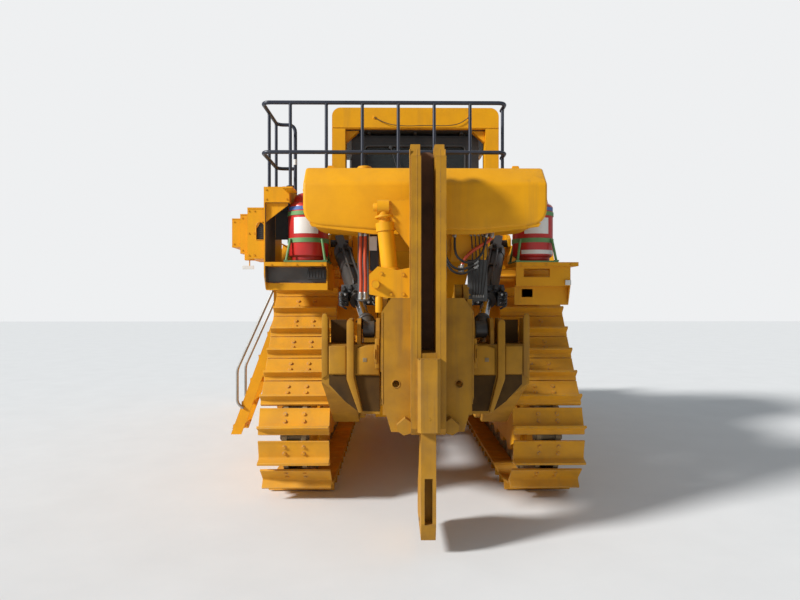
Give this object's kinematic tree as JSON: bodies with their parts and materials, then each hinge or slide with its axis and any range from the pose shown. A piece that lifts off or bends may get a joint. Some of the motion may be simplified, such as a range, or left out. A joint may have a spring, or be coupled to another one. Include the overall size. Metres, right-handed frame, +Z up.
{
  "type": "bulldozer",
  "caption": "Large crawler dozer with a raised drive sprocket, a semi-U blade in front, a roll-over canopy over the cab and a single-shank ripper behind.",
  "frame": {"origin": "centre of the whole machine's footprint, on the ground", "axes": "+Y the way the machine drives, +X its right-hand side, +Z up"},
  "size_m": [4.94, 7.7835, 4.53],
  "materials": {
    "yellow_paint": "dusty construction yellow paint",
    "black_paint": "satin black paint with dust",
    "dark_rail_paint": "dark blue-black paint on tube",
    "track_steel": "worn track steel with dry dirt",
    "worn_steel": "scoured bare steel",
    "glass": "tinted cab glass",
    "red_paint": "gloss red paint",
    "green_paint": "green paint on bottle frames and straps",
    "stainless_tube": "bare stainless tube",
    "chrome_rod": "polished cylinder rod",
    "seat_fabric": "dark seat cloth",
    "dark_plastic": "dark moulded plastic"
  },
  "bodies": {
    "machine": {"track_left": "track_steel", "track_right": "track_steel", "track_frame_left": "yellow_paint", "track_frame_right": "yellow_paint", "track_rollers": "track_steel", "idlers": "track_steel", "sprockets": "track_steel", "final_drives": "yellow_paint", "main_case": "yellow_paint", "front_frame": "yellow_paint", "equalizer_bar": "yellow_paint", "engine_block": "yellow_paint", "hood": "yellow_paint", "radiator_guard": "yellow_paint", "exhaust_stacks": "black_paint", "air_cleaners": "black_paint", "deck": "yellow_paint", "fender_left": "yellow_paint", "fender_right": "yellow_paint", "cab_floor": "black_paint", "cab_frame": "black_paint", "cab_roof": "black_paint", "cab_windows": "glass", "seat": "seat_fabric", "console": "dark_plastic", "roll_post_left": "yellow_paint", "roll_post_right": "yellow_paint", "canopy": "yellow_paint", "fuel_tank": "yellow_paint", "tank_stand": "yellow_paint", "head_brackets": "yellow_paint", "guard_rail": "dark_rail_paint", "fire_bottles": "red_paint", "bottle_stands": "green_paint", "service_boxes": "yellow_paint", "ladder": "yellow_paint", "grip_rails": "stainless_tube", "ripper_bracket": "yellow_paint"},
    "blade_assembly": {"blade": "yellow_paint", "cutting_edge": "worn_steel", "push_arm_left": "yellow_paint", "push_arm_right": "yellow_paint"},
    "blade_cylinder_barrels": {"lift_barrels": "yellow_paint"},
    "blade_cylinder_rods": {"lift_rods": "chrome_rod"},
    "ripper_lower_frame": {"ripper_frame": "yellow_paint"},
    "ripper_upper_links": {"upper_links": "yellow_paint"},
    "ripper_carriage_body": {"ripper_carriage": "yellow_paint", "shank_jack": "yellow_paint"},
    "shank": {"ripper_shank": "yellow_paint"},
    "ripper_cylinder_heads": {"cylinder_heads": "yellow_paint"},
    "ripper_cylinder_barrel_left": {"ripper_barrel_left": "black_paint"},
    "ripper_cylinder_barrel_right": {"ripper_barrel_right": "black_paint"},
    "ripper_cylinder_rod_left": {"ripper_rod_left": "chrome_rod"},
    "ripper_cylinder_rod_right": {"ripper_rod_right": "chrome_rod"},
    "cab_door_left_body": {"cab_door_left": "black_paint", "cab_door_glass_left": "glass"},
    "cab_door_right_body": {"cab_door_right": "black_paint", "cab_door_glass_right": "glass"},
    "engine_door_left_body": {"engine_door_left": "yellow_paint"},
    "engine_door_right_body": {"engine_door_right": "yellow_paint"}
  },
  "joints": [
    {"name": "blade_lift", "type": "hinge", "parent": "machine", "child": "blade_assembly", "pos_m": [0, -0.38175, 0.74], "axis": [1, 0, 0], "range_deg": [-8, 16]},
    {"name": "blade_barrel_swing", "type": "hinge", "parent": "machine", "child": "blade_cylinder_barrels", "pos_m": [0, 2.11825, 2.82], "axis": [1, 0, 0], "range_deg": [-5.23, 10.16]},
    {"name": "blade_rod_stroke", "type": "slide", "parent": "blade_cylinder_barrels", "child": "blade_cylinder_rods", "axis": [0, 0.427, -0.9042], "range_m": [-0.8882, 0.4451]},
    {"name": "ripper_lift", "type": "hinge", "parent": "machine", "child": "ripper_lower_frame", "pos_m": [0, -2.18175, 0.92], "axis": [1, 0, 0], "range_deg": [-3, 32]},
    {"name": "carriage_level", "type": "hinge", "parent": "ripper_lower_frame", "child": "ripper_carriage_body", "pos_m": [0, -3.23175, 1.37], "axis": [1, 0, 0], "range_deg": [-32.5, 3.5]},
    {"name": "upper_link_swing", "type": "hinge", "parent": "machine", "child": "ripper_upper_links", "pos_m": [0, -2.18175, 1.67], "axis": [1, 0, 0], "range_deg": [-3.5, 32.5]},
    {"name": "cylinder_head_swing", "type": "hinge", "parent": "machine", "child": "ripper_cylinder_heads", "pos_m": [0, -1.96175, 2.69], "axis": [1, 0, 0], "range_deg": [-1.21, 9.96]},
    {"name": "barrel_yaw_left", "type": "hinge", "parent": "ripper_cylinder_heads", "child": "ripper_cylinder_barrel_left", "pos_m": [-0.87, -1.96175, 2.69], "axis": [0, 0.5726, -0.8198], "range_deg": [-0.7, 4.59]},
    {"name": "rod_stroke_left", "type": "slide", "parent": "ripper_cylinder_barrel_left", "child": "ripper_cylinder_rod_left", "axis": [0.2341, -0.7971, -0.5567], "range_m": [-0.0652, 0.6766]},
    {"name": "barrel_yaw_right", "type": "hinge", "parent": "ripper_cylinder_heads", "child": "ripper_cylinder_barrel_right", "pos_m": [0.87, -1.96175, 2.69], "axis": [0, 0.5726, -0.8198], "range_deg": [-4.59, 0.7]},
    {"name": "rod_stroke_right", "type": "slide", "parent": "ripper_cylinder_barrel_right", "child": "ripper_cylinder_rod_right", "axis": [-0.2341, -0.7971, -0.5567], "range_m": [-0.0652, 0.6766]},
    {"name": "shank_depth", "type": "slide", "parent": "ripper_carriage_body", "child": "shank", "axis": [0, 0, 1], "range_m": [-0.15, 0.3]},
    {"name": "cab_door_left_swing", "type": "hinge", "parent": "machine", "child": "cab_door_left_body", "pos_m": [-0.848, -0.48425, 3.12], "axis": [0, 0, 1], "range_deg": [0, 90]},
    {"name": "cab_door_right_swing", "type": "hinge", "parent": "machine", "child": "cab_door_right_body", "pos_m": [0.848, -0.48425, 3.12], "axis": [0, 0, -1], "range_deg": [0, 90]},
    {"name": "engine_door_left_swing", "type": "hinge", "parent": "machine", "child": "engine_door_left_body", "pos_m": [-0.618, 0.82575, 2.37], "axis": [0, 0, 1], "range_deg": [0, 85]},
    {"name": "engine_door_right_swing", "type": "hinge", "parent": "machine", "child": "engine_door_right_body", "pos_m": [0.618, 0.82575, 2.37], "axis": [0, 0, -1], "range_deg": [0, 85]}
  ],
  "couplings": [
    {"joint": "blade_barrel_swing", "follows": "blade_lift", "ratio": 0.6163},
    {"joint": "blade_rod_stroke", "follows": "blade_lift", "m_per_rad": -3.1733},
    {"joint": "carriage_level", "follows": "ripper_lift", "ratio": -1},
    {"joint": "upper_link_swing", "follows": "ripper_lift", "ratio": 1},
    {"joint": "cylinder_head_swing", "follows": "ripper_lift", "ratio": 0.3019},
    {"joint": "barrel_yaw_left", "follows": "ripper_lift", "ratio": 0.1341},
    {"joint": "barrel_yaw_right", "follows": "ripper_lift", "ratio": -0.1341},
    {"joint": "rod_stroke_left", "follows": "ripper_lift", "m_per_rad": 1.2078},
    {"joint": "rod_stroke_right", "follows": "ripper_lift", "m_per_rad": 1.2078}
  ]
}
